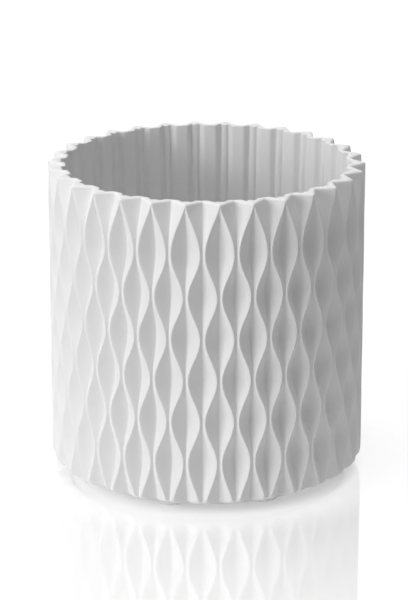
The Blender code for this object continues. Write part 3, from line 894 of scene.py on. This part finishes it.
def make_camera():
    data = bpy.data.cameras.new("photo_camera")
    data.sensor_fit = "VERTICAL"
    data.sensor_height = SENSOR_HEIGHT_MM
    data.lens = FOCAL_PX / IMAGE_HEIGHT_PX * SENSOR_HEIGHT_MM
    data.shift_x = -AXIS_OFFSET_X_PX / IMAGE_HEIGHT_PX
    data.shift_y = AXIS_OFFSET_Y_PX / IMAGE_HEIGHT_PX
    data.clip_end = CAMERA_REACH
    camera = link("photo_camera", data)
    back = Vector((0.0, -cos(CAMERA_PITCH), sin(CAMERA_PITCH)))
    camera.location = Vector((0.0, 0.0, CAMERA_AIM_LEVEL)) + back * CAMERA_DISTANCE
    camera.rotation_euler = (-back).to_track_quat("-Z", "Y").to_euler()
    bpy.context.scene.camera = camera


def make_lamp(name, azimuth, elevation, distance, size, power):
    """Round soft lamp that looks at the middle of the cup."""
    data = bpy.data.lights.new(name, "AREA")
    data.shape = "DISK"
    data.size = size
    data.energy = power
    lamp = link(name, data)
    offset = on_circle(cos(elevation), azimuth, sin(elevation)) * distance
    lamp.location = offset + Vector((0.0, 0.0, LAMP_AIM_LEVEL))
    lamp.rotation_euler = (-offset).to_track_quat("-Z", "Y").to_euler()


def combined(nodes, links, operation, first, second):
    """Sum, product or maximum of two values."""
    node = nodes.new("ShaderNodeMath")
    node.operation = operation
    links.new(first, node.inputs[0])
    links.new(second, node.inputs[1])
    return node.outputs[0]


def mixed(nodes, links, share, first, second):
    """Shader that goes from the first to the second as the share goes from 0 to 1."""
    node = nodes.new("ShaderNodeMixShader")
    links.new(share, node.inputs[0])
    links.new(first, node.inputs[1])
    links.new(second, node.inputs[2])
    return node.outputs[0]


def seen_directly(nodes, links):
    """1 for camera, glossy and transmitted rays, 0 for the light that falls on things."""
    path = nodes.new("ShaderNodeLightPath")
    seen = combined(nodes, links, "MAXIMUM", path.outputs["Is Camera Ray"],
                    path.outputs["Is Glossy Ray"])
    return combined(nodes, links, "MAXIMUM", seen, path.outputs["Is Transmission Ray"])


def make_world():
    world = bpy.data.worlds.new("studio")
    bpy.context.scene.world = world
    world.use_nodes = True
    nodes, links = world.node_tree.nodes, world.node_tree.links
    nodes.clear()
    output = nodes.new("ShaderNodeOutputWorld")
    backgrounds = []
    for strength in (WORLD_LIGHT, WORLD_SEEN):
        background = nodes.new("ShaderNodeBackground")
        background.inputs["Color"].default_value = WHITE
        background.inputs["Strength"].default_value = strength
        backgrounds.append(background.outputs[0])
    surface = mixed(nodes, links, seen_directly(nodes, links), *backgrounds)
    links.new(surface, output.inputs["Surface"])


def distance_ramp(nodes, links, centre_x, near, far, near_value, far_value):
    """Value that changes with the distance from a point of the table's middle line."""
    place = nodes.new("ShaderNodeTexCoord").outputs["Object"]
    distance = nodes.new("ShaderNodeVectorMath")
    distance.operation = "DISTANCE"
    distance.inputs[1].default_value = (centre_x, 0.0, 0.0)
    links.new(place, distance.inputs[0])
    ramp = nodes.new("ShaderNodeMapRange")
    ramp.interpolation_type = "SMOOTHSTEP"
    ramp.inputs["From Min"].default_value = near
    ramp.inputs["From Max"].default_value = far
    ramp.inputs["To Min"].default_value = near_value
    ramp.inputs["To Max"].default_value = far_value
    links.new(distance.outputs["Value"], ramp.inputs["Value"])
    return ramp.outputs["Result"]


def mirror_image(nodes, links, surface):
    """Surface with a gloss for grazing views, strongest just outside the cup's shadow."""
    gloss = nodes.new("ShaderNodeBsdfAnisotropic")
    gloss.inputs["Color"].default_value = WHITE
    gloss.inputs["Roughness"].default_value = MIRROR_ROUGHNESS
    facing = nodes.new("ShaderNodeLayerWeight").outputs["Facing"]
    rise = distance_ramp(nodes, links, 0.0, MIRROR_START, MIRROR_INNER, 0.0, 1.0)
    fade = distance_ramp(nodes, links, 0.0, MIRROR_INNER, MIRROR_OUTER, MIRROR_NEAR, MIRROR_FAR)
    share = combined(nodes, links, "MULTIPLY", facing, rise)
    share = combined(nodes, links, "MULTIPLY", share, fade)
    return mixed(nodes, links, share, surface, gloss.outputs[0])


def make_floor():
    """White table with a pool of light round the cup, a painted shadow under the cup's edge and a
    faint gloss.
    """
    bm = bmesh.new()
    bmesh.ops.create_circle(bm, cap_ends=True, segments=FINE_STEPS, radius=FLOOR_RADIUS)
    floor = mesh_piece("floor", bm)
    material = bpy.data.materials.new("floor_white")
    material.use_nodes = True
    nodes, links = material.node_tree.nodes, material.node_tree.links
    shader = nodes["Principled BSDF"]
    shader.inputs["Base Color"].default_value = (FLOOR_WHITE, FLOOR_WHITE, FLOOR_WHITE, 1.0)
    shader.inputs["Specular IOR Level"].default_value = FLOOR_GLOSS
    shader.inputs["Roughness"].default_value = FLOOR_ROUGHNESS
    shader.inputs["Emission Color"].default_value = WHITE
    pool = distance_ramp(nodes, links, 0.0, POOL_INNER, POOL_OUTER, POOL_LIGHT, 0.0)
    links.new(pool, shader.inputs["Emission Strength"])
    # Glow kept low near the cup: a painted shadow under its edge
    glow_past_painted_shade = distance_ramp(nodes, links, PAINTED_SHADE_CENTRE_X, PAINTED_SHADE_INNER, PAINTED_SHADE_OUTER,
                                 PAINTED_SHADE_GLOW, GLOW_FAR)
    beyond_pool = distance_ramp(nodes, links, 0.0, POOL_INNER, POOL_OUTER, 0.0, POOL_LIGHT)
    glow = nodes.new("ShaderNodeEmission")
    links.new(combined(nodes, links, "ADD", glow_past_painted_shade, beyond_pool), glow.inputs["Strength"])
    glowing = nodes.new("ShaderNodeAddShader")
    links.new(shader.outputs[0], glowing.inputs[0])
    links.new(glow.outputs[0], glowing.inputs[1])
    seen = mirror_image(nodes, links, glowing.outputs[0])
    surface = mixed(nodes, links, seen_directly(nodes, links), shader.outputs[0], seen)
    links.new(surface, nodes["Material Output"].inputs["Surface"])
    floor.data.materials.append(material)


def make_object():
    white = moulded_plastic(*CUP_PLASTIC)
    grey = moulded_plastic(*BASE_PLASTIC)
    nylon = moulded_plastic(*CAGE_NYLON)
    acetal = moulded_plastic(*BUSH_ACETAL)
    steel = turned_metal(*RACE_STEEL)
    chrome = turned_metal(*BALL_STEEL)
    zinc = plated_metal(*SCREW_ZINC)
    rubber = silicone(*FOOT_SILICONE)

    dress(make_cup_shell(), white, "rotor", "cup", "cup_body")
    for ribs in make_cup_ribs():
        dress(ribs, white, "rotor", "cup")
    dress(make_base_plate(), grey, "base", "base", "base_disc")
    for ribs in make_base_ribs():
        dress(ribs, grey, "base", "base")
    dress(make_race("lower_ring", lower_low.z, lower_high.z, -1), steel, "base", "race",
          "lower_race")
    dress(make_race("upper_ring", upper_low.z, upper_high.z, 1), steel, "rotor", "race",
          "upper_race")
    dress(make_cage(), nylon, "ball_carrier", "cage", "ball_cage")
    for number, angle in enumerate(ball_angles(), start=1):
        dress(make_ball(number, angle), chrome, "ball_carrier", "ball", f"ball_{number:02d}")
    dress(make_bush(), acetal, "base", "bush", "pivot_bush")
    dress(make_washer(), zinc, "rotor", "screw", "pivot_washer")
    dress(make_screw_head(), zinc, "rotor", "screw", "pivot_screw")
    dress(make_screw_shank(), zinc, "rotor", "screw")
    for number, angle in enumerate(foot_angles(), start=1):
        dress(make_foot(number, angle), rubber, "base", "foot", f"foot_{number:02d}")


bpy.context.scene.view_settings.view_transform = "Standard"
make_camera()
make_world()
for name, azimuth, elevation, distance, size, power in LAMPS:
    make_lamp(name, radians(azimuth), radians(elevation), distance, size, power)
make_floor()
make_object()
